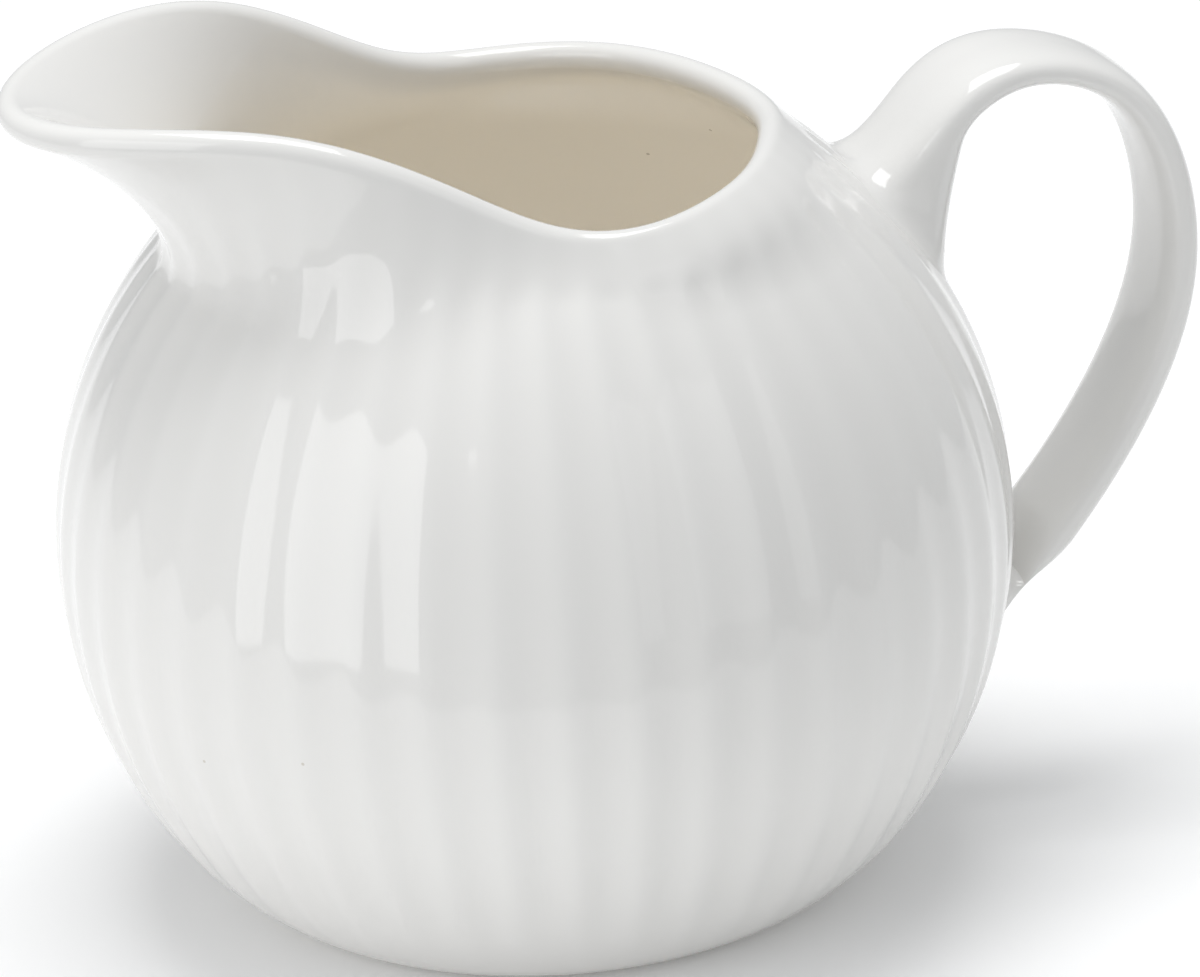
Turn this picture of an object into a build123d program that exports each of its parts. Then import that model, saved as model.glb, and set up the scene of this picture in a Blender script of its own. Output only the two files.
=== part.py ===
from build123d import *
import math
import os

# Small fluted ceramic jug: a ball-shaped pot with a wide beak spout, and a strap handle
# that is stuck on with clay slip.  Millimetres, +Z up, origin at the middle of the foot.
# The spout points along -X and the handle along +X; the XZ plane is the plane of symmetry.

# ---------------------------------------------------------------- driving sizes: pot
belly_radius = 50.0        # outside of the ball, over the ridges of the flutes
centre_height = 38.3       # centre of the ball above the standing face
wall = 3.0                 # thickness of the cast wall; the rolled lip has the same diameter
heel_height = 10.0         # where the ball ends and the rounded heel starts, middle of the wall
heel_inset = 11.2          # how far the heel runs in from there to the standing face
heel_pull = 3.5            # length of the heel curve's end tangents
foot_ring = 2.2            # width of the flat ring that the jug stands on
recess_depth = 1.0         # shallow hollow inside the ring
recess_draft = 0.8         # the hollow is this much narrower at its top
mouth_radius = 28.4        # middle of the lip, half way round the mouth

# ---------------------------------------------------------------- driving sizes: flutes
# Shares are shares of the wall's height, from foot to rim.
flute_count = 44
flute_depth = (0.38, 0.20)   # on the lower belly, and at the shoulder
flute_ease = (0.28, 0.60)    # shares between which the one depth passes into the other
flute_start = (0.05, 0.20)   # shares over which they begin, above the heel
flute_end = (0.81, 0.93)     # and over which they run out, under the smooth band of the rim
ridge_sharpness = 0.035      # 0 is a plain wave; more makes flatter valleys and sharper ridges

# Values listed from the handle side (0 degrees) to the tip of the spout (180 degrees), evenly
# spaced.  Both sides of the jug are alike, so a cosine series runs smoothly through them.
rim_bulge = [-1.7, -1.9, -0.6, 1.1, 1.0, 0.8, 6.0, 15.4, 23.2]     # past mouth_radius
rim_rise = [0.6, 0.8, 0.7, 0.1, -0.1, 4.1, 10.6, 12.4, 11.3]       # above the shoulder
neck_span = [14.3, 14.5, 12.7, 16.3, 5.0]        # degrees from the lip down to the ball
leave_pull = [8.0, 6.0, 6.0, 7.0, 7.0]           # stiffness of the wall where it leaves the ball
arrive_angle = [131.0, 148.0, 119.0, 73.0, 23.0]  # slope on reaching the lip; 90 is upright
arrive_pull = [4.5, 5.5, 6.0, 9.0, 12.0]         # stiffness of the wall under the lip

# ---------------------------------------------------------------- driving sizes: handle
# Stations along the strap: clearance from the ball to the strap's middle, place round the
# ball in degrees above its centre, width across, thickness.
strap_stations = [
    (4.0, 38.7, 15.8, 9.5),
    (9.5, 41.0, 15.4, 5.4),
    (15.0, 40.8, 14.4, 4.6),
    (20.3, 38.2, 13.0, 3.9),
    (25.1, 33.0, 12.3, 3.7),
    (26.5, 26.4, 12.9, 4.1),
    (24.3, 18.1, 13.5, 4.3),
    (19.6, 9.9, 13.9, 4.3),
    (12.5, 0.3, 14.1, 4.3),
    (6.9, -7.9, 14.2, 4.4),
    (3.3, -13.9, 14.4, 5.0),
]
strap_squareness = 2.8     # 2 is an oval section, larger is squarer

# The two joints: place on the ball in degrees, width and height of the strap's end face.
upper_root = (36.3, 16.0, 13.0)
lower_root = (-19.4, 14.8, 8.0)
slip_gap = 0.6             # clay slip between the strap's end face and the wall
slip_spread = 2.6          # how far the slip's fillet runs out round the end face
slip_climb = 2.4           # how far the fillet climbs the strap
slip_bite = 1.6            # how deep the slip's blank starts inside the wall before it is cut
slip_hollow = (0.4, 0.3)   # shares of spread and climb at the middle of the hollow of the fillet
slip_grip = 0.3            # share of the spread by which the blank ends inside the strap
slip_lift = 0.05           # the blank's foot line just clears the ridges of the flutes

# ---------------------------------------------------------------- resolution of the surfaces
points_around = 4 * flute_count
heel_rows, ball_rows, neck_rows, lip_rows = 4, 10, 9, 5
heel_share, ball_share = 0.12, 0.58     # shares of the wall's height, from foot to rim
strap_points = 24
angle_step, share_step = 0.002, 0.0005  # small steps for the slope of the wall


def series(values, angle):
    """Cosine series through evenly spaced values from 0 to 180 degrees, at one angle."""
    last = len(values) - 1
    total = 0.0
    for order in range(last + 1):
        weight = 0.0
        for index, value in enumerate(values):
            end = 0.5 if index in (0, last) else 1.0
            weight += end * value * math.cos(math.pi * order * index / last)
        scale = 1.0 / last if order in (0, last) else 2.0 / last
        total += scale * weight * math.cos(order * angle)
    return total


def cubic(p0, p1, p2, p3, t):
    """Point of a cubic Bezier curve in the half-plane."""
    u = 1.0 - t
    weights = (u ** 3, 3 * u * u * t, 3 * u * t * t, t ** 3)
    return tuple(sum(w * p[k] for w, p in zip(weights, (p0, p1, p2, p3))) for k in (0, 1))


def heel_start():
    """Where the ball ends at the heel: distance from the axis and height, middle of the wall."""
    height = heel_height - centre_height
    return math.sqrt((belly_radius - wall / 2) ** 2 - height ** 2), height


def rim_middle(angle):
    """Middle of the lip at a plan angle: distance from the axis and height over the centre."""
    shoulder = math.sqrt(belly_radius ** 2 - mouth_radius ** 2)
    return mouth_radius + series(rim_bulge, angle), shoulder + series(rim_rise, angle)


def wall_middle(angle, share):
    """Middle of the wall's thickness, at a plan angle and a share of the way from foot to rim."""
    radius = belly_radius - wall / 2
    start, rim = heel_start(), rim_middle(angle)
    heel = math.atan2(start[1], start[0])
    leave = math.atan2(rim[1], rim[0]) - math.radians(series(neck_span, angle))
    if share < heel_share:
        foot = (start[0] - heel_inset, wall / 2 - centre_height)
        flat = (foot[0] + heel_pull, foot[1])
        down = (start[0] + heel_pull * math.sin(heel), start[1] - heel_pull * math.cos(heel))
        r, z = cubic(foot, flat, down, start, share / heel_share)
    elif share < heel_share + ball_share:
        place = heel + (leave - heel) * (share - heel_share) / ball_share
        r, z = radius * math.cos(place), radius * math.sin(place)
    else:
        t = (share - heel_share - ball_share) / (1 - heel_share - ball_share)
        arrive = math.radians(series(arrive_angle, angle))
        pull_out, pull_in = series(leave_pull, angle), series(arrive_pull, angle)
        start = (radius * math.cos(leave), radius * math.sin(leave))
        above = (start[0] - pull_out * math.sin(leave), start[1] + pull_out * math.cos(leave))
        below = (rim[0] - pull_in * math.cos(arrive), rim[1] - pull_in * math.sin(arrive))
        r, z = cubic(start, above, below, rim, t)
    return Vector(r * math.cos(angle), r * math.sin(angle), z + centre_height)


def wall_frame(angle, share):
    """Middle point, outward normal and upward direction of the wall."""
    here = wall_middle(angle, share)
    around = wall_middle(angle + angle_step, share) - wall_middle(angle - angle_step, share)
    low, high = max(share - share_step, 0.0), min(share + share_step, 1.0)
    along = wall_middle(angle, high) - wall_middle(angle, low)
    normal = around.cross(along).normalized()
    return here, normal, normal.cross(around.normalized())


def fade(value, start, end):
    """Smooth step from 0 at start to 1 at end."""
    t = min(max((value - start) / (end - start), 0.0), 1.0)
    return t * t * (3 - 2 * t)


def flute(angle, share):
    """Depth cut by the flutes: shallow waves that run out at the heel and under the rim."""
    turn = flute_count * angle
    wave = 0.5 + 0.5 * math.cos(turn) + ridge_sharpness * (1 - math.cos(2 * turn))
    low, high = flute_depth
    depth = low + (high - low) * fade(share, *flute_ease)
    return depth * wave * fade(share, *flute_start) * (1 - fade(share, *flute_end))


def closed_curve(points):
    """Closed smooth wire through points that are evenly spaced in its parameter."""
    steps = [k / len(points) for k in range(len(points) + 1)]
    return Wire([Edge.make_spline(points, periodic=True, parameters=steps)])


def row(share, offset, fluted=False):
    """Closed curve round the pot at one share of its height, offset from the wall's middle."""
    points = []
    for k in range(points_around):
        angle = 2 * math.pi * k / points_around
        here, normal, _ = wall_frame(angle, share)
        cut = flute(angle, share) if fluted else 0.0
        points.append(here + normal * (offset - cut))
    return closed_curve(points)


def lip_row(turn):
    """Closed curve on the rolled lip, turned from outside (0) over the top to inside (pi)."""
    points = []
    for k in range(points_around):
        here, normal, up = wall_frame(2 * math.pi * k / points_around, 1.0)
        points.append(here + (normal * math.cos(turn) + up * math.sin(turn)) * (wall / 2))
    return closed_curve(points)


def row_shares():
    """Shares of the wall's height at which the rows lie, from foot to rim."""
    neck_share = 1 - heel_share - ball_share
    shares = [heel_share * k / heel_rows for k in range(heel_rows)]
    shares += [heel_share + ball_share * k / ball_rows for k in range(ball_rows)]
    shares += [1 - neck_share * (1 - k / neck_rows) for k in range(neck_rows + 1)]
    return shares


def make_body():
    """The slip-cast pot: outer wall, lip, inner wall and floor in one skin, hollowed foot."""
    shares = row_shares()
    rows = [row(share, wall / 2, fluted=True) for share in shares]
    rows += [lip_row(math.pi * k / (lip_rows + 1)) for k in range(1, lip_rows + 1)]
    rows += [row(share, -wall / 2) for share in reversed(shares)]
    pot = Solid.make_loft(rows)
    recess_radius = heel_start()[0] - heel_inset - foot_ring
    hollow = Solid.make_cone(recess_radius, recess_radius - recess_draft, recess_depth)
    return pot - hollow


def ball_point(clearance, place, side=0.0):
    """Point outside the ball: clearance, degrees above its centre, distance to the +Y side."""
    reach = belly_radius + clearance
    turn = side / belly_radius
    up = math.radians(place)
    out = Vector(math.cos(turn) * math.cos(up), math.sin(turn), math.cos(turn) * math.sin(up))
    return out * reach + Vector(0, 0, centre_height)


def oval(width, height):
    """Points of a squared oval: pairs of distance to the side and distance along."""
    power = 2 / strap_squareness
    pairs = []
    for k in range(strap_points):
        turn = 2 * math.pi * (k + 0.5) / strap_points
        side, rise = math.cos(turn), math.sin(turn)
        pairs.append((math.copysign(abs(side) ** power, side) * width / 2,
                      math.copysign(abs(rise) ** power, rise) * height / 2))
    return pairs


def strap_ring(middle, across, width, height):
    """Flat closed curve round the strap's middle; across is its thickness direction."""
    points = [middle + Vector(0, side, 0) + across * rise for side, rise in oval(width, height)]
    return closed_curve(points)


def root_ring(root, clearance, spread):
    """Flat closed curve parallel to the wall at a joint, wider than the end face by spread."""
    place, width, height = root
    up = Vector(-math.sin(math.radians(place)), 0, math.cos(math.radians(place)))
    return strap_ring(ball_point(clearance, place), up, width + 2 * spread, height + 2 * spread)


def wrapped_ring(root, clearance, spread):
    """Closed curve that follows the ball round a joint, wider than the end face by spread."""
    place, width, height = root
    points = []
    for side, rise in oval(width + 2 * spread, height + 2 * spread):
        points.append(ball_point(clearance, place + math.degrees(rise / belly_radius), side))
    return closed_curve(points)


def make_handle():
    """The strap: flat oval sections along its path, with an end face along the wall each end."""
    middles = [ball_point(slip_gap, upper_root[0])]
    middles += [ball_point(clearance, place) for clearance, place, width, thick in strap_stations]
    middles += [ball_point(slip_gap, lower_root[0])]
    rings = [root_ring(upper_root, slip_gap, 0.0)]
    for index, (clearance, place, width, thick) in enumerate(strap_stations, start=1):
        along = (middles[index + 1] - middles[index - 1]).normalized()
        across = along.cross(Vector(0, 1, 0))
        rings.append(strap_ring(middles[index], across, width, thick))
    low = math.radians(lower_root[0])
    end = strap_ring(middles[-1], Vector(math.sin(low), 0, -math.cos(low)), *lower_root[1:])
    return Solid.make_loft(rings + [end])


def make_slip_joint(root, body, handle):
    """Slip between wall and end face, with the fillet that is wiped round the strap."""
    hollow_spread, hollow_climb = slip_hollow
    rings = [
        root_ring(root, -slip_bite, slip_spread),
        wrapped_ring(root, slip_lift, slip_spread),
        wrapped_ring(root, slip_climb * hollow_climb, slip_spread * hollow_spread),
        root_ring(root, slip_climb, -slip_spread * slip_grip),
    ]
    left = Solid.make_loft(rings) - body - handle
    return max(left.solids(), key=lambda solid: solid.volume)


body = make_body()
handle = make_handle()
nodes = {
    "body": body,
    "handle": handle,
    "upper_slip_joint": make_slip_joint(upper_root, body, handle),
    "lower_slip_joint": make_slip_joint(lower_root, body, handle),
}
os.makedirs("parts", exist_ok=True)
for name, shape in nodes.items():
    export_step(shape, f"parts/{name}.step")
    print(name, round(shape.volume, 1), "mm3")
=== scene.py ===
# %% Load the CAD frame
import math

import bpy
import numpy as np
from mathutils import Matrix, Vector


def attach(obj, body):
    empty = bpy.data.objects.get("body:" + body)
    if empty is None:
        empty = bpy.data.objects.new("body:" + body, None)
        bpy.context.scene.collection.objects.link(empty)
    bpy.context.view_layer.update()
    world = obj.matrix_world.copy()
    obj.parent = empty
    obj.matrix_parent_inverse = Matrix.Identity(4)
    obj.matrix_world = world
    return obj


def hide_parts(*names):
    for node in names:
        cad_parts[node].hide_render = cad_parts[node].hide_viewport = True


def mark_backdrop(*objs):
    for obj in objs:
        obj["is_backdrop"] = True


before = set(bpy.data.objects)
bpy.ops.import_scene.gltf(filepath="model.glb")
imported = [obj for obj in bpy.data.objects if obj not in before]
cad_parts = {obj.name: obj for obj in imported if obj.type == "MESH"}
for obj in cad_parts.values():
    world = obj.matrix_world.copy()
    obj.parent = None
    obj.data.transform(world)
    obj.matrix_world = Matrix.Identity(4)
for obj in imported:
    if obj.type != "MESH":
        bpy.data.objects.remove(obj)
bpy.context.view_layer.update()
MM = 0.001

# %% [markdown]
# The pot is one slip-cast wall of even thickness: a ball that stands on a small foot ring and
# opens into a wide mouth with a beak spout.  It could be a sphere pushed about with sculpting
# tools, but a wall that is drawn once, as its middle line at each angle round the jug, keeps
# both sides alike and gives the outside, the lip and the inside by stepping off half the wall.

# %% Sizes of the pot, in millimetres
belly_radius = 50.0
centre_height = 38.3
wall = 3.0
mouth_radius = 28.4
heel_height, heel_inset, heel_pull = 10.0, 11.2, 3.5
foot_ring, recess_depth, recess_width = 2.2, 1.0, 1.3

# From the handle side to the tip of the spout, evenly spaced over half a turn.
rim_bulge = [-1.7, -1.9, -0.6, 1.1, 1.0, 0.8, 6.0, 15.4, 23.2]
rim_rise = [0.6, 0.8, 0.7, 0.1, -0.1, 4.1, 10.6, 12.4, 11.3]
neck_span = [14.3, 14.5, 12.7, 16.3, 5.0]
leave_pull = [8.0, 6.0, 6.0, 7.0, 7.0]
arrive_angle = [131.0, 148.0, 119.0, 73.0, 23.0]
arrive_pull = [4.5, 5.5, 6.0, 9.0, 12.0]

# Shares of the wall's height, from foot to rim, at which the heel and the ball end.
heel_top, ball_top = 0.12, 0.70
shoulder = math.sqrt(belly_radius ** 2 - mouth_radius ** 2)
print("pot sizes: shoulder", round(shoulder, 1), "mm above the middle of the ball")


# %% Small helpers for curves
def series(values, angle):
    """Cosine series through evenly spaced values over half a turn: sum of a_k cos(k angle)."""
    values = np.asarray(values, float)
    last = len(values) - 1
    ends = np.ones(last + 1)
    ends[[0, -1]] = 0.5
    orders = np.arange(last + 1)
    terms = np.cos(np.pi * np.outer(orders, orders) / last) @ (ends * values) * 2 / last * ends
    return np.tensordot(terms, np.cos(np.multiply.outer(orders, angle)), 1)


def cubic(p0, p1, p2, p3, t):
    """Bezier curve: the four points weighted by u^3, 3u^2t, 3ut^2 and t^3, with u = 1 - t."""
    u = 1 - t
    return [u ** 3 * a + 3 * u * u * t * b + 3 * u * t * t * c + t ** 3 * d
            for a, b, c, d in zip(p0, p1, p2, p3)]


def fade(value, start, end):
    """Smooth step 3t^2 - 2t^3 from 0 at start to 1 at end."""
    t = np.clip((value - start) / (end - start), 0.0, 1.0)
    return t * t * (3 - 2 * t)


print("rim reaches", round(mouth_radius + float(series(rim_bulge, np.pi)), 1), "mm at the spout")


# %% The middle of the wall
def heel_corner():
    """Where the ball stops at the heel: distance from the axis, height from the ball's middle."""
    height = heel_height - centre_height
    return math.sqrt((belly_radius - wall / 2) ** 2 - height ** 2), height


def neck_start(angle):
    """Angle of elevation at which the wall leaves the ball, the rim's radius and height."""
    rim_r = mouth_radius + series(rim_bulge, angle)
    rim_z = shoulder + series(rim_rise, angle)
    return np.arctan2(rim_z, rim_r) - np.radians(series(neck_span, angle)), rim_r, rim_z


def wall_middle(angle, share):
    """Middle surface: a Bezier heel, an arc of the ball, and a Bezier neck, one after another
    in the half-plane at each angle; share runs from 0 at the foot to 1 at the lip."""
    radius = belly_radius - wall / 2
    corner = heel_corner()
    heel = math.atan2(corner[1], corner[0])
    leave, rim_r, rim_z = neck_start(angle)
    foot = (corner[0] - heel_inset, wall / 2 - centre_height)
    along = (math.sin(heel), -math.cos(heel))
    low = cubic(foot, (foot[0] + heel_pull, foot[1]),
                (corner[0] + heel_pull * along[0], corner[1] + heel_pull * along[1]), corner,
                np.clip(share / heel_top, 0, 1))
    place = heel + (leave - heel) * np.clip((share - heel_top) / (ball_top - heel_top), 0, 1)
    arrive = np.radians(series(arrive_angle, angle))
    pull_out, pull_in = series(leave_pull, angle), series(arrive_pull, angle)
    start = (radius * np.cos(leave), radius * np.sin(leave))
    high = cubic(start,
                 (start[0] - pull_out * np.sin(leave), start[1] + pull_out * np.cos(leave)),
                 (rim_r - pull_in * np.cos(arrive), rim_z - pull_in * np.sin(arrive)),
                 (rim_r, rim_z), np.clip((share - ball_top) / (1 - ball_top), 0, 1))
    parts = [share < heel_top, share < ball_top]
    r = np.select(parts, [low[0], radius * np.cos(place)], high[0])
    z = np.select(parts, [low[1], radius * np.sin(place)], high[1])
    return np.stack([r * np.cos(angle), r * np.sin(angle), z + centre_height], -1)


def unit(vectors):
    """Vectors scaled to length 1."""
    return vectors / np.linalg.norm(vectors, axis=-1, keepdims=True)


def wall_frame(angle, share):
    """Middle point, outward normal and upward direction, from small steps both ways."""
    step_a, step_s = 0.002, 0.0005
    around = wall_middle(angle + step_a, share) - wall_middle(angle - step_a, share)
    along = (wall_middle(angle, np.minimum(share + step_s, 1.0))
             - wall_middle(angle, np.maximum(share - step_s, 0.0)))
    normal = unit(np.cross(around, along))
    return wall_middle(angle, share), normal, unit(np.cross(normal, around))


# %% [markdown]
# Forty-four shallow flutes run up the ball.  They are pressed into the mould, so they are part of
# the wall and not a pattern on it, and the glaze has rounded the ridges between them.  A bump
# texture would leave the outline smooth, so they are cut into the surface as a wave.

# %% Flutes
flute_count = 44
flute_depth = (0.38, 0.20)      # on the lower belly, and at the shoulder
flute_ease = (0.28, 0.60)       # shares of the height between which the depth changes
flute_start, flute_end = (0.05, 0.20), (0.81, 0.93)
ridge_sharpness = 0.035


def flute_wave(angle):
    """Wave round the jug, 1 in the middle of a flute and 0 on the ridge: with t = 44 a it is
    0.5 + 0.5 cos t + sharpness (1 - cos 2t), so that ridges are sharper than valleys."""
    turn = flute_count * angle
    return 0.5 + 0.5 * np.cos(turn) + ridge_sharpness * (1 - np.cos(2 * turn))


def flute_cut(angle, share):
    """Depth of the flutes, which run out at the heel and in a smooth band under the lip."""
    low, high = flute_depth
    depth = low + (high - low) * fade(share, *flute_ease)
    return depth * flute_wave(angle) * fade(share, *flute_start) * (1 - fade(share, *flute_end))


print("a flute is", round(2 * math.pi * belly_radius / flute_count, 2), "mm wide on the belly")


# %% Meshes from grids of points
def closed_skin(name, rows, start_cap, end_cap):
    """Mesh through rows of points that each run once round the piece.  Neighbours make
    four-sided faces, and the first and last row close with a fan to a point."""
    n_rows, n_around = rows.shape[:2]
    index = np.arange(n_rows * n_around).reshape(n_rows, n_around)
    turned = np.roll(index, -1, axis=1)
    quads = np.stack([index[:-1], turned[:-1], turned[1:], index[1:]], -1).reshape(-1, 4)
    first, last = n_rows * n_around, n_rows * n_around + 1
    fans = np.concatenate([
        np.stack([np.full(n_around, first), turned[0], index[0]], -1),
        np.stack([np.full(n_around, last), index[-1], turned[-1]], -1)])
    points = np.concatenate([rows.reshape(-1, 3), [start_cap, end_cap]]) * MM
    mesh = bpy.data.meshes.new(name)
    mesh.from_pydata(points, [], quads.tolist() + fans.tolist())
    mesh.polygons.foreach_set("use_smooth", np.ones(len(mesh.polygons), bool))
    piece = bpy.data.objects.new(name, mesh)
    bpy.context.scene.collection.objects.link(piece)
    print(name, "has", 2 * len(quads) + len(fans), "triangles")
    return piece


def add_mask(piece, name, values):
    """A number from 0 to 1 at every point, which a material can read by its name."""
    layer = piece.data.attributes.new(name, "FLOAT", "POINT")
    layer.data.foreach_set("value", np.asarray(values, np.float32))


# %% The pot's skin, from under the foot over the lip to the floor inside
points_round = 10 * flute_count
heel_rows, ball_rows, neck_rows, lip_rows = 10, 46, 44, 12
inside_rows, floor_rows = 60, 5
underside_rows = (5, 10, 3)     # rows in the recess, on its side, and on the ring
underside_start = 4.0           # radius of the first row round the middle
foot_edge = heel_corner()[0] - heel_inset
ring_inside = foot_edge - foot_ring
angles = np.linspace(0, 2 * np.pi, points_round, endpoint=False)
outside_shares = np.concatenate([
    np.linspace(0, heel_top, heel_rows, endpoint=False),
    np.linspace(heel_top, ball_top, ball_rows, endpoint=False),
    np.linspace(ball_top, 1, neck_rows)])
inside_shares = np.linspace(1, 0, inside_rows)


def underside(radii):
    """Foot: flat ring at height 0, and inside it a shallow recess with a smooth-step side."""
    r, a = np.meshgrid(radii, angles, indexing="ij")
    z = recess_depth * (1 - fade(r, ring_inside - recess_width, ring_inside))
    return np.stack([r * np.cos(a), r * np.sin(a), z], -1)


def wall_side(shares, offset, fluted):
    """Outside or inside of the wall: its middle plus offset times the normal, less the flutes."""
    s, a = np.meshgrid(shares, angles, indexing="ij")
    middle, normal, _ = wall_frame(a, s)
    depth = flute_cut(a, s) if fluted else np.zeros_like(s)
    return middle + normal * (offset - depth)[..., None]


def lip(turns):
    """Half round lip: middle of the rim plus half the wall times cos w normal + sin w up."""
    w, a = np.meshgrid(turns, angles, indexing="ij")
    middle, normal, up = wall_frame(a, np.ones_like(a))
    return middle + (normal * np.cos(w)[..., None] + up * np.sin(w)[..., None]) * (wall / 2)


stops = (underside_start, ring_inside - recess_width, ring_inside, foot_edge)
underside_radii = np.concatenate([
    np.linspace(inner, outer, count, endpoint=False)
    for inner, outer, count in zip(stops, stops[1:], underside_rows)])
inside = wall_side(inside_shares, -wall / 2, False)
floor_height = inside[-1, 0, 2]
floor_share = np.linspace(1, 0, floor_rows + 1)[1:-1, None, None]
floor_part = inside[-1] * [1, 1, 0] * floor_share + [0, 0, floor_height]
skin_rows = [underside(underside_radii), wall_side(outside_shares, wall / 2, True),
             lip(np.linspace(0, np.pi, lip_rows + 2)[1:-1]), inside, floor_part]
pot_points = np.concatenate(skin_rows)
pot = closed_skin("pot", pot_points, [0, 0, recess_depth], [0, 0, floor_height])

# %% Masks that the glaze reads: how deep inside, where the foot is wiped bare, and the flutes
# Painted bounce light: the cream tone inside stands in for the warm light bounced round the pot.
lip_blend = (1.0, 0.93)       # shares of the inner wall over which the cream tone starts
painted_bounce_heights = (91, 74)      # no cream at the spout's tip, and all of it below the mouth
bare_height = 0.12            # the ring is wiped bare up to this height


def pot_mask(name, parts, caps=(0, 0)):
    """Mask from a number or an array for each part of the skin and each closing point."""
    grids = [np.broadcast_to(part, rows.shape[:2]).ravel() for part, rows in zip(parts, skin_rows)]
    add_mask(pot, name, np.concatenate(grids + [caps]))
    print("mask", name, "on the pot")


# Painted bounce light, fading in below the lip and away from the spout's tip.
painted_bounce = fade(inside_shares, *lip_blend)[:, None] * fade(inside[..., 2], *painted_bounce_heights)
pot_mask("inside", (0, 0, 0, painted_bounce, 1), (0, 1))
pot_mask("bare", [rows[..., 2] < bare_height for rows in skin_rows])
# The flute mask carries painted shade into the middle of each flute.
pot_mask("flute", (0, flute_wave(angles), 0, 0, 0))

# %% [markdown]
# The handle is a pulled strap, stuck on with slip.  Its section is a squared oval that gets
# thinner over the top of the loop.  A curve with a bevel would keep one section all the way, so
# the strap is a grid: stations along it are joined by a smooth spline, and each carries an oval.

# %% Stations along the strap
# Clearance from the ball to the strap's middle, degrees above the ball's middle, width, thickness.
strap_stations = np.array([
    (4.0, 38.7, 15.8, 9.5),
    (9.5, 41.0, 15.4, 5.4),
    (15.0, 40.8, 14.4, 4.6),
    (20.3, 38.2, 13.0, 3.9),
    (25.1, 33.0, 12.3, 3.7),
    (26.5, 26.4, 12.9, 4.1),
    (24.3, 18.1, 13.5, 4.3),
    (19.6, 9.9, 13.9, 4.3),
    (12.5, 0.3, 14.1, 4.3),
    (6.9, -7.9, 14.2, 4.4),
    (3.3, -13.9, 14.4, 5.0),
])
squareness = 2.8


def natural_spline(values, t):
    """Smooth curve through values at 0, 1, 2 ...: cubic pieces whose second slopes agree where
    they meet and are zero at the ends."""
    values = np.asarray(values, float)
    n = len(values)
    system = np.eye(n)
    inner = np.arange(1, n - 1)
    system[inner, inner - 1], system[inner, inner], system[inner, inner + 1] = 1, 4, 1
    bends = np.zeros_like(values)
    bends[1:-1] = 6 * (values[2:] - 2 * values[1:-1] + values[:-2])
    bends = np.linalg.solve(system, bends)
    k = np.clip(np.floor(t).astype(int), 0, n - 2)
    f = (t - k)[:, None]
    a, b, c, d = values[k], values[k + 1], bends[k], bends[k + 1]
    return a * (1 - f) + b * f + ((1 - f) ** 3 - (1 - f)) * c / 6 + (f ** 3 - f) * d / 6


def on_ball(clearance, place, side):
    """Point outside the ball from its clearance, its elevation and its turn to the side, in
    radians: (belly radius + clearance) times the direction."""
    out = np.stack([np.cos(side) * np.cos(place), np.sin(side), np.cos(side) * np.sin(place)], -1)
    return out * (belly_radius + clearance)[..., None] + np.array([0, 0, centre_height])


def ball_place(points):
    """The other way round: arc upwards, arc to the side and clearance, all in millimetres."""
    out = points - np.array([0, 0, centre_height])
    reach = np.linalg.norm(out, axis=-1)
    place = np.arctan2(out[..., 2], out[..., 0]) * belly_radius
    side = np.arcsin(out[..., 1] / reach) * belly_radius
    return np.stack([place, side, reach - belly_radius], -1)


def oval(count):
    """Squared oval of half-size 1: cos and sin of the turn, each to the power 2 / squareness."""
    turn = 2 * np.pi * (np.arange(count) + 0.5) / count
    power = 2 / squareness
    side, rise = np.cos(turn), np.sin(turn)
    return np.sign(side) * np.abs(side) ** power, np.sign(rise) * np.abs(rise) ** power


# %% The strap and the wiped slip at both ends, as one smooth surface
strap_round, strap_rows, slip_rows = 96, 180, 26
joint_stations = (0.75, 9.0)      # where the slip takes over from the strap
upper_foot = (36.3, 11.4, 9.6)    # middle in degrees, half width and half height of the footprint
lower_foot = (-19.4, 10.4, 7.4)
slip_sink = 0.12                  # the edge of the slip dips this far under the wall's surface
slip_pull, slip_least = 0.62, 1.5    # it leaves the strap by this share of its height, or of this
slip_landing = 3.4                # length over which it lands flat on the wall
slip_fill = 1.6                   # height at which it no longer follows the flutes


def strap(t):
    """Ovals across the strap's path: middle + side along Y + rise square to the path."""
    clearance, place, width, thick = natural_spline(strap_stations, t).T
    middle = on_ball(clearance, np.radians(place), np.zeros_like(t))
    along = unit(np.gradient(middle, t, axis=0))
    across = np.cross(along, [0, 1, 0])
    side, rise = oval(strap_round)
    return (middle[:, None] + side[None, :, None] * width[:, None, None] / 2 * [0, 1, 0]
            + rise[None, :, None] * thick[:, None, None] / 2 * across[:, None])


def wall_cut(place, side):
    """How deep the flutes are at a place on the ball, so that the slip's edge lies in them."""
    out = on_ball(np.zeros_like(place), place, side) - np.array([0, 0, centre_height])
    angle = np.arctan2(out[..., 1], out[..., 0])
    rise = np.arcsin(out[..., 2] / belly_radius)
    corner = heel_corner()
    heel = math.atan2(corner[1], corner[0])
    share = heel_top + (ball_top - heel_top) * (rise - heel) / (neck_start(angle)[0] - heel)
    return flute_cut(angle, share)


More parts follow.
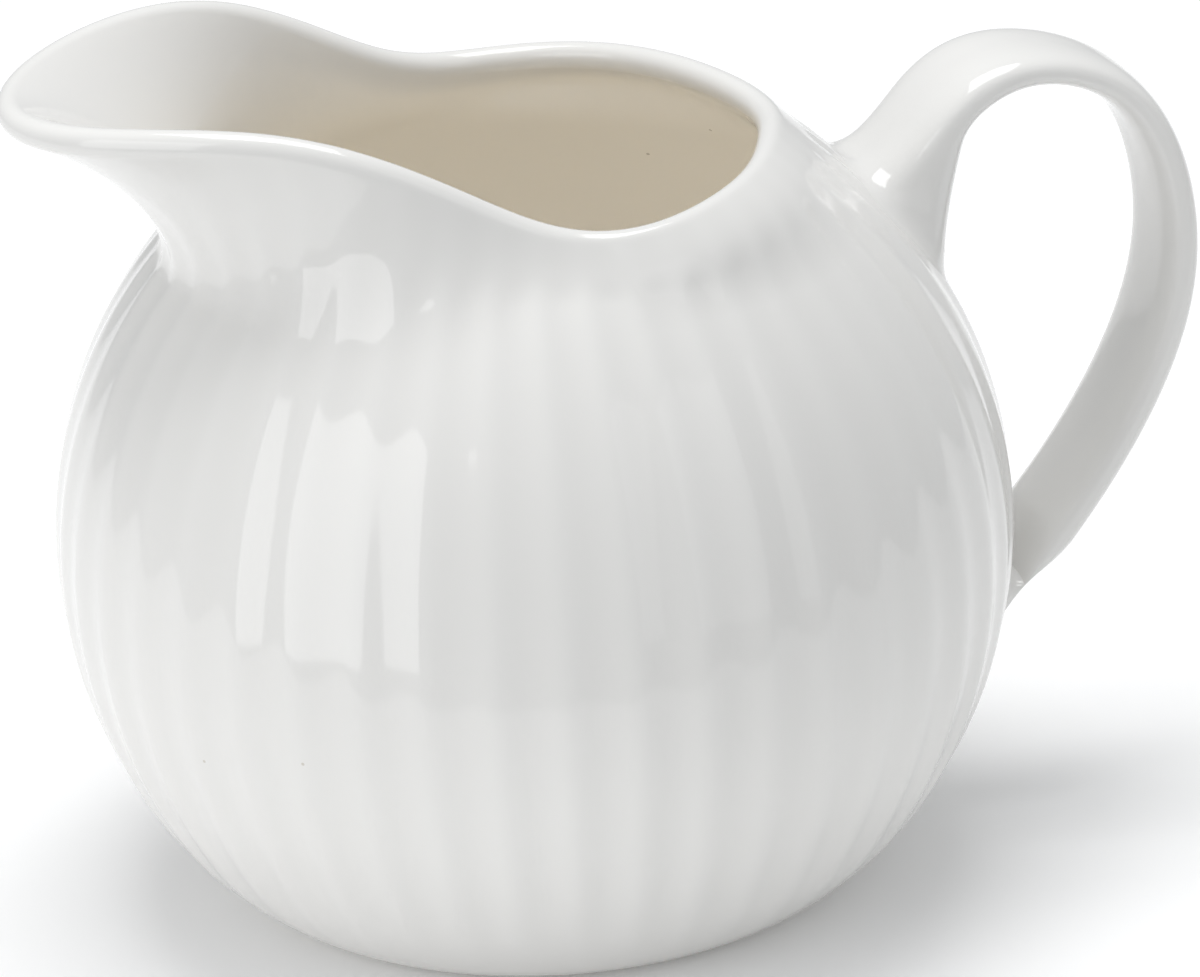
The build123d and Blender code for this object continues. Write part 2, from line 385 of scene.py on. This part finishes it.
def wiped_slip(ring, next_ring, foot):
    """Rows from the strap down to the wall: for each point of the ring a Bezier curve, worked
    out in arcs on the ball and clearance, that leaves along the strap and lands flat."""
    start, before = ball_place(ring), ball_place(next_ring)
    side, rise = oval(strap_round)
    middle = np.array([math.radians(foot[0]) * belly_radius, 0, 0])
    reach = np.stack([rise * foot[2], side * foot[1], np.zeros_like(side)], -1)
    land = middle + reach
    leave = unit(start - before) * np.maximum(start[:, 2:], slip_least) * slip_pull
    t = np.linspace(0, 1, slip_rows)[:, None, None]
    curve = cubic([start], [start + leave], [land - unit(reach) * slip_landing], [land], t)[0]
    place, turn, clearance = np.moveaxis(curve, -1, 0)
    place, turn = place / belly_radius, turn / belly_radius
    clearance = clearance - wall_cut(place, turn) * (1 - fade(clearance, 0.0, slip_fill))
    clearance = clearance - slip_sink * fade(t[..., 0], 0.9, 1.0)
    return on_ball(clearance, place, turn)


t_strap = np.linspace(*joint_stations, strap_rows)
strap_points = strap(t_strap)
upper = wiped_slip(strap_points[0], strap_points[1], upper_foot)[::-1]
lower = wiped_slip(strap_points[-1], strap_points[-2], lower_foot)
loop = np.concatenate([upper[:-1], strap_points, lower[1:]])
print("strap loop of", loop.shape[0], "rows; it reaches", round(loop[..., 0].max(), 1), "mm out")

# %% [markdown]
# Under the glaze the strap and its two joints are separate bits of clay, so they are separate
# pieces here.  The glaze runs over all of them without a line, so each piece keeps the slopes of
# the whole surface at its edge, and the light passes over the seams as it does on the real one.

# %% Split the loop into the strap and its two joints
def slopes(rows):
    """Outward normal of a surface given as rows: step round the piece cross step along it."""
    around = np.roll(rows, -1, axis=1) - np.roll(rows, 1, axis=1)
    return unit(np.cross(around, np.gradient(rows, axis=0)))


def loop_piece(name, first, last):
    """Rows first to last of the loop as a closed piece that keeps the loop's own slopes."""
    rows = loop[first:last + 1]
    piece = closed_skin(name, rows, rows[0].mean(0), rows[-1].mean(0))
    bends = loop_slopes[first:last + 1].reshape(-1, 3)
    ends = [unit(rows[0].mean(0) - rows[1].mean(0)), unit(rows[-1].mean(0) - rows[-2].mean(0))]
    piece.data.normals_split_custom_set_from_vertices(np.concatenate([bends, ends]).tolist())
    return piece


loop_slopes = slopes(loop)
split = (slip_rows - 1, slip_rows - 1 + strap_rows - 1)
upper_slip = loop_piece("upper_slip", 0, split[0])
handle = loop_piece("strap_handle", *split)
lower_slip = loop_piece("lower_slip", split[1], loop.shape[0] - 1)

# %% [markdown]
# Glazed earthenware is white clay under a clear, slightly uneven coat of glass.  One shader with
# a low roughness gives both.  The inside is painted a brighter, warmer cream: painted bounce
# light, standing in for light that has bounced many times between the white walls and lost its
# blue.  The flute valleys are a shade darker, painted shade.  Faint pinholes and a slight ripple
# break up the reflections, as on most glazed jugs.

# %% Node helpers
def new_material(name):
    """Node material, its tree and its shader."""
    material = bpy.data.materials.new(name)
    material.use_nodes = True
    return material, material.node_tree, material.node_tree.nodes["Principled BSDF"]


def set_inputs(tree, node, inputs):
    """Give a node's inputs, by name or number, their sockets or fixed values."""
    for key, value in dict(inputs).items():
        if isinstance(value, bpy.types.NodeSocket):
            tree.links.new(value, node.inputs[key])
        else:
            node.inputs[key].default_value = value


def add_node(tree, kind, inputs=(), out=0, **settings):
    """A node with its settings made and its inputs filled.  It returns one output socket."""
    node = tree.nodes.new(kind)
    for key, value in settings.items():
        setattr(node, key, value)
    set_inputs(tree, node, inputs)
    return node.outputs[out]


def maths(tree, operation, *values, clamp=False):
    """One Math node on sockets or numbers."""
    return add_node(tree, "ShaderNodeMath", enumerate(values), operation=operation, use_clamp=clamp)


def object_place(tree):
    """Coordinates on the piece, in metres."""
    return add_node(tree, "ShaderNodeTexCoord", out=3)


def mask(tree, name):
    """Number that the piece carries at its points under this name."""
    return add_node(tree, "ShaderNodeAttribute", out=2, attribute_name=name)


def blend_colours(tree, share, first, second):
    """Mix of two colours, each a socket or a fixed colour, by a share from 0 to 1."""
    return add_node(tree, "ShaderNodeMix", {0: share, 6: first, 7: second}, out=2, data_type="RGBA")


# %% The glaze
white_glaze = (0.765, 0.758, 0.740, 1)
# Painted bounce light inside: a brighter, warmer copy of the white glaze.
painted_bounce_glaze = (0.930, 0.900, 0.840, 1)
# Darker glaze, mixed in at random patches and as painted shade in the flute valleys.
pooling_and_shade_glaze = (0.740, 0.733, 0.714, 1)
pinhole_brown = (0.60, 0.57, 0.52, 1)
bare_clay = (0.74, 0.70, 0.63, 1)
cloud_scale, ripple_scale = 45.0, 140.0       # patches and ripples per metre
# The last number is painted shade: how far the middle of every flute darkens.
pool_start, pool_gain, painted_flute_shade = 0.35, 1.2, 0.35
hole_scale, hole_size, hole_rarity = 260.0, 0.055, 0.95
least_rough, rough_spread, clay_rough = 0.05, 0.06, 0.85
ripple_strength, ripple_height = 0.035, 0.0006
glaze_ior = 1.52


def speck_mask(tree, position):
    """Spots at the middle of a few cells of a Voronoi pattern: near the middle, and the cell's
    own random number over the rarity."""
    near = add_node(tree, "ShaderNodeTexVoronoi", {"Vector": position, "Scale": hole_scale})
    number = add_node(tree, "ShaderNodeSeparateColor", {0: near.node.outputs["Color"]})
    return maths(tree, "MULTIPLY", maths(tree, "LESS_THAN", near, hole_size),
                 maths(tree, "GREATER_THAN", number, hole_rarity))


def make_glaze(name, masks):
    """White glaze: tone from pooling and specks, gloss from roughness, ripple from bump.  With
    masks it gets a brighter cream inside, painted bounce light, painted shade in the middle of
    the flutes, and is wiped off the foot."""
    material, tree, shader = new_material(name)
    position = object_place(tree)
    cloud, ripple = (
        add_node(tree, "ShaderNodeTexNoise", {"Vector": position, "Scale": scale, "Detail": detail})
        for scale, detail in ((cloud_scale, 3.0), (ripple_scale, 2.0)))
    tone = maths(tree, "SUBTRACT", cloud, pool_start, clamp=True)
    tone = maths(tree, "MULTIPLY", tone, pool_gain, clamp=True)
    rough = maths(tree, "MULTIPLY_ADD", cloud, rough_spread, least_rough)
    if masks:
        # Painted shade: the middle of each flute darkens toward the darker glaze.
        tone = maths(tree, "ADD", tone, maths(tree, "MULTIPLY", mask(tree, "flute"), painted_flute_shade))
    colour = blend_colours(tree, tone, white_glaze, pooling_and_shade_glaze)
    if masks:
        # Painted bounce light: the inside turns to the brighter, warmer cream copy of the glaze.
        colour = blend_colours(tree, mask(tree, "inside"), colour, painted_bounce_glaze)
    colour = blend_colours(tree, speck_mask(tree, position), colour, pinhole_brown)
    if masks:
        bare = mask(tree, "bare")
        colour = blend_colours(tree, bare, colour, bare_clay)
        rough = add_node(tree, "ShaderNodeMapRange",
                         {"Value": bare, "To Min": rough, "To Max": clay_rough})
    bump = add_node(tree, "ShaderNodeBump", {"Height": ripple, "Strength": ripple_strength,
                                             "Distance": ripple_height})
    set_inputs(tree, shader, {"Base Color": colour, "Roughness": rough, "Normal": bump,
                              "IOR": glaze_ior})
    return material


pot_glaze = make_glaze("pot_glaze", True)
strap_glaze = make_glaze("strap_glaze", False)
slip_glaze = make_glaze("slip_glaze", False)
for piece, finish, slot, nodes in (
        (pot, pot_glaze, "glazed_body", ["body"]),
        (handle, strap_glaze, "glazed_handle", ["handle"]),
        (upper_slip, slip_glaze, "glazed_slip", ["upper_slip_joint"]),
        (lower_slip, slip_glaze, "glazed_slip", ["lower_slip_joint"])):
    piece.data.materials.append(finish)
    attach(piece, "root")
    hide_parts(*nodes)
print("glaze on", [p.name for p in (pot, handle, upper_slip, lower_slip)])

# %% [markdown]
# The jug stands on a pale board under soft studio light: a tall softbox on the left, a wide
# weak one on the right and a soft light overhead.  A glossy thing shows the lights themselves,
# so their places are chosen for the bands that they leave on the flutes.  The jug stands near the
# edge of a round board, because the near edge shows as the line across the lower belly.  The
# board glows, which is painted light: little near the jug and more away from it, so the shadow
# stays soft and a painted darker patch lies round the foot.

# %% Board to stand on
board_radius, board_x, board_y = 0.45, 0.08, 0.30
glow_reach, board_glow = (0.04, 0.14), (0.05, 0.14)     # distances from the jug, and the glow there
board_white, board_rough, board_gloss = (0.9, 0.9, 0.9, 1), 0.7, 0.2


def make_board():
    """Flat round board: points at the radius times cos and sin of the turn, off its middle."""
    turn = np.linspace(0, 2 * math.pi, 128, endpoint=False)
    points = np.stack([board_x + board_radius * np.cos(turn),
                       board_y + board_radius * np.sin(turn), np.zeros_like(turn)], -1)
    mesh = bpy.data.meshes.new("board")
    mesh.from_pydata(points, [], [list(range(len(points)))])
    board = bpy.data.objects.new("board", mesh)
    bpy.context.scene.collection.objects.link(board)
    material, tree, shader = new_material("board_white")
    # Painted light: the board's glow grows with distance from the jug, dimmer round the foot.
    distance = add_node(tree, "ShaderNodeVectorMath", {0: object_place(tree)}, out=1,
                        operation="LENGTH")
    ends = zip(("From Min", "From Max", "To Min", "To Max"), glow_reach + board_glow)
    glow = add_node(tree, "ShaderNodeMapRange", {"Value": distance, **dict(ends)},
                    interpolation_type="SMOOTHSTEP")
    set_inputs(tree, shader, {
        "Base Color": board_white, "Roughness": board_rough, "Specular IOR Level": board_gloss,
        "Emission Color": (1, 1, 1, 1), "Emission Strength": glow})
    mesh.materials.append(material)
    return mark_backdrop(board)


make_board()
print("board of", 2 * board_radius, "m across")


# %% Lights
def softbox(name, azimuth, elevation, distance, width, height, glow):
    """Rectangle of even light, aimed at the middle of the ball.  Its power is its glow times
    pi times its area, so that a reflection of it is as bright as the glow says."""
    aim = Vector((0, 0, centre_height * MM))
    a, e = math.radians(azimuth), math.radians(elevation)
    back = Vector((math.cos(a) * math.cos(e), math.sin(a) * math.cos(e), math.sin(e)))
    data = bpy.data.lights.new(name, "AREA")
    data.shape = "RECTANGLE"
    data.size, data.size_y = width, height
    data.energy = glow * math.pi * width * height
    lamp = bpy.data.objects.new(name, data)
    lamp.location = aim + back * distance
    lamp.rotation_euler = back.to_track_quat("Z", "Y").to_euler()
    bpy.context.scene.collection.objects.link(lamp)
    return lamp


softbox("left_softbox", azimuth=206, elevation=13, distance=0.62, width=0.42, height=0.60, glow=1.8)
softbox("right_panel", azimuth=300, elevation=18, distance=0.9, width=0.45, height=0.9, glow=0.50)
softbox("top_light", azimuth=80, elevation=84, distance=0.7, width=0.45, height=0.45, glow=5.2)

# %% Room light and how light is counted
room_colour, room_glow = (0.96, 0.98, 1.0, 1), 0.50
world = bpy.data.worlds.new("studio")
world.use_nodes = True
set_inputs(world.node_tree, world.node_tree.nodes["Background"],
           {"Color": room_colour, "Strength": room_glow})
scene = bpy.context.scene
scene.world = world
scene.view_settings.view_transform = "Standard"
# Inside a white pot light bounces many times, and each bounce makes it a little warmer.
scene.cycles.diffuse_bounces, scene.cycles.max_bounces = 12, 16

# %% [markdown]
# The camera looks a little from the left of the jug's side and from above, with a long lens, which
# keeps the ball round.  It stands 0.8 m from the middle of the ball and leans a few degrees to the
# handle's side, as a camera held in the hand does.  Tilting the jug would show the same outline,
# but the jug would then not stand on its foot.

# %% Camera
camera_azimuth, camera_elevation, camera_distance = -14.86, 22.57, 0.800
lens, sensor_width = 229.5, 36.0
camera_lean = 2.9                 # degrees that the camera's upright leans to the handle's side
aim_right, aim_up = 6.80, 3.50    # millimetres from the middle of the ball
a, e = math.radians(camera_azimuth), math.radians(camera_elevation)
lean = math.radians(camera_lean)
upright = Vector((math.sin(lean), 0, math.cos(lean)))
back = Vector((math.sin(a) * math.cos(e), -math.cos(a) * math.cos(e), math.sin(e)))
right = upright.cross(back).normalized()
middle = Vector((0, 0, centre_height * MM))
aim = middle + (right * aim_right + back.cross(right) * aim_up) * MM
camera_data = bpy.data.cameras.new("camera")
camera_data.lens, camera_data.sensor_width = lens, sensor_width
camera = bpy.data.objects.new("camera", camera_data)
camera.location = middle + back * camera_distance
look = (camera.location - aim).normalized()
side = upright.cross(look).normalized()
camera.matrix_world = Matrix.Translation(camera.location) @ Matrix(
    (side, look.cross(side), look)).transposed().to_4x4()
scene.collection.objects.link(camera)
scene.camera = camera
print("camera at", [round(v, 3) for v in camera.location])
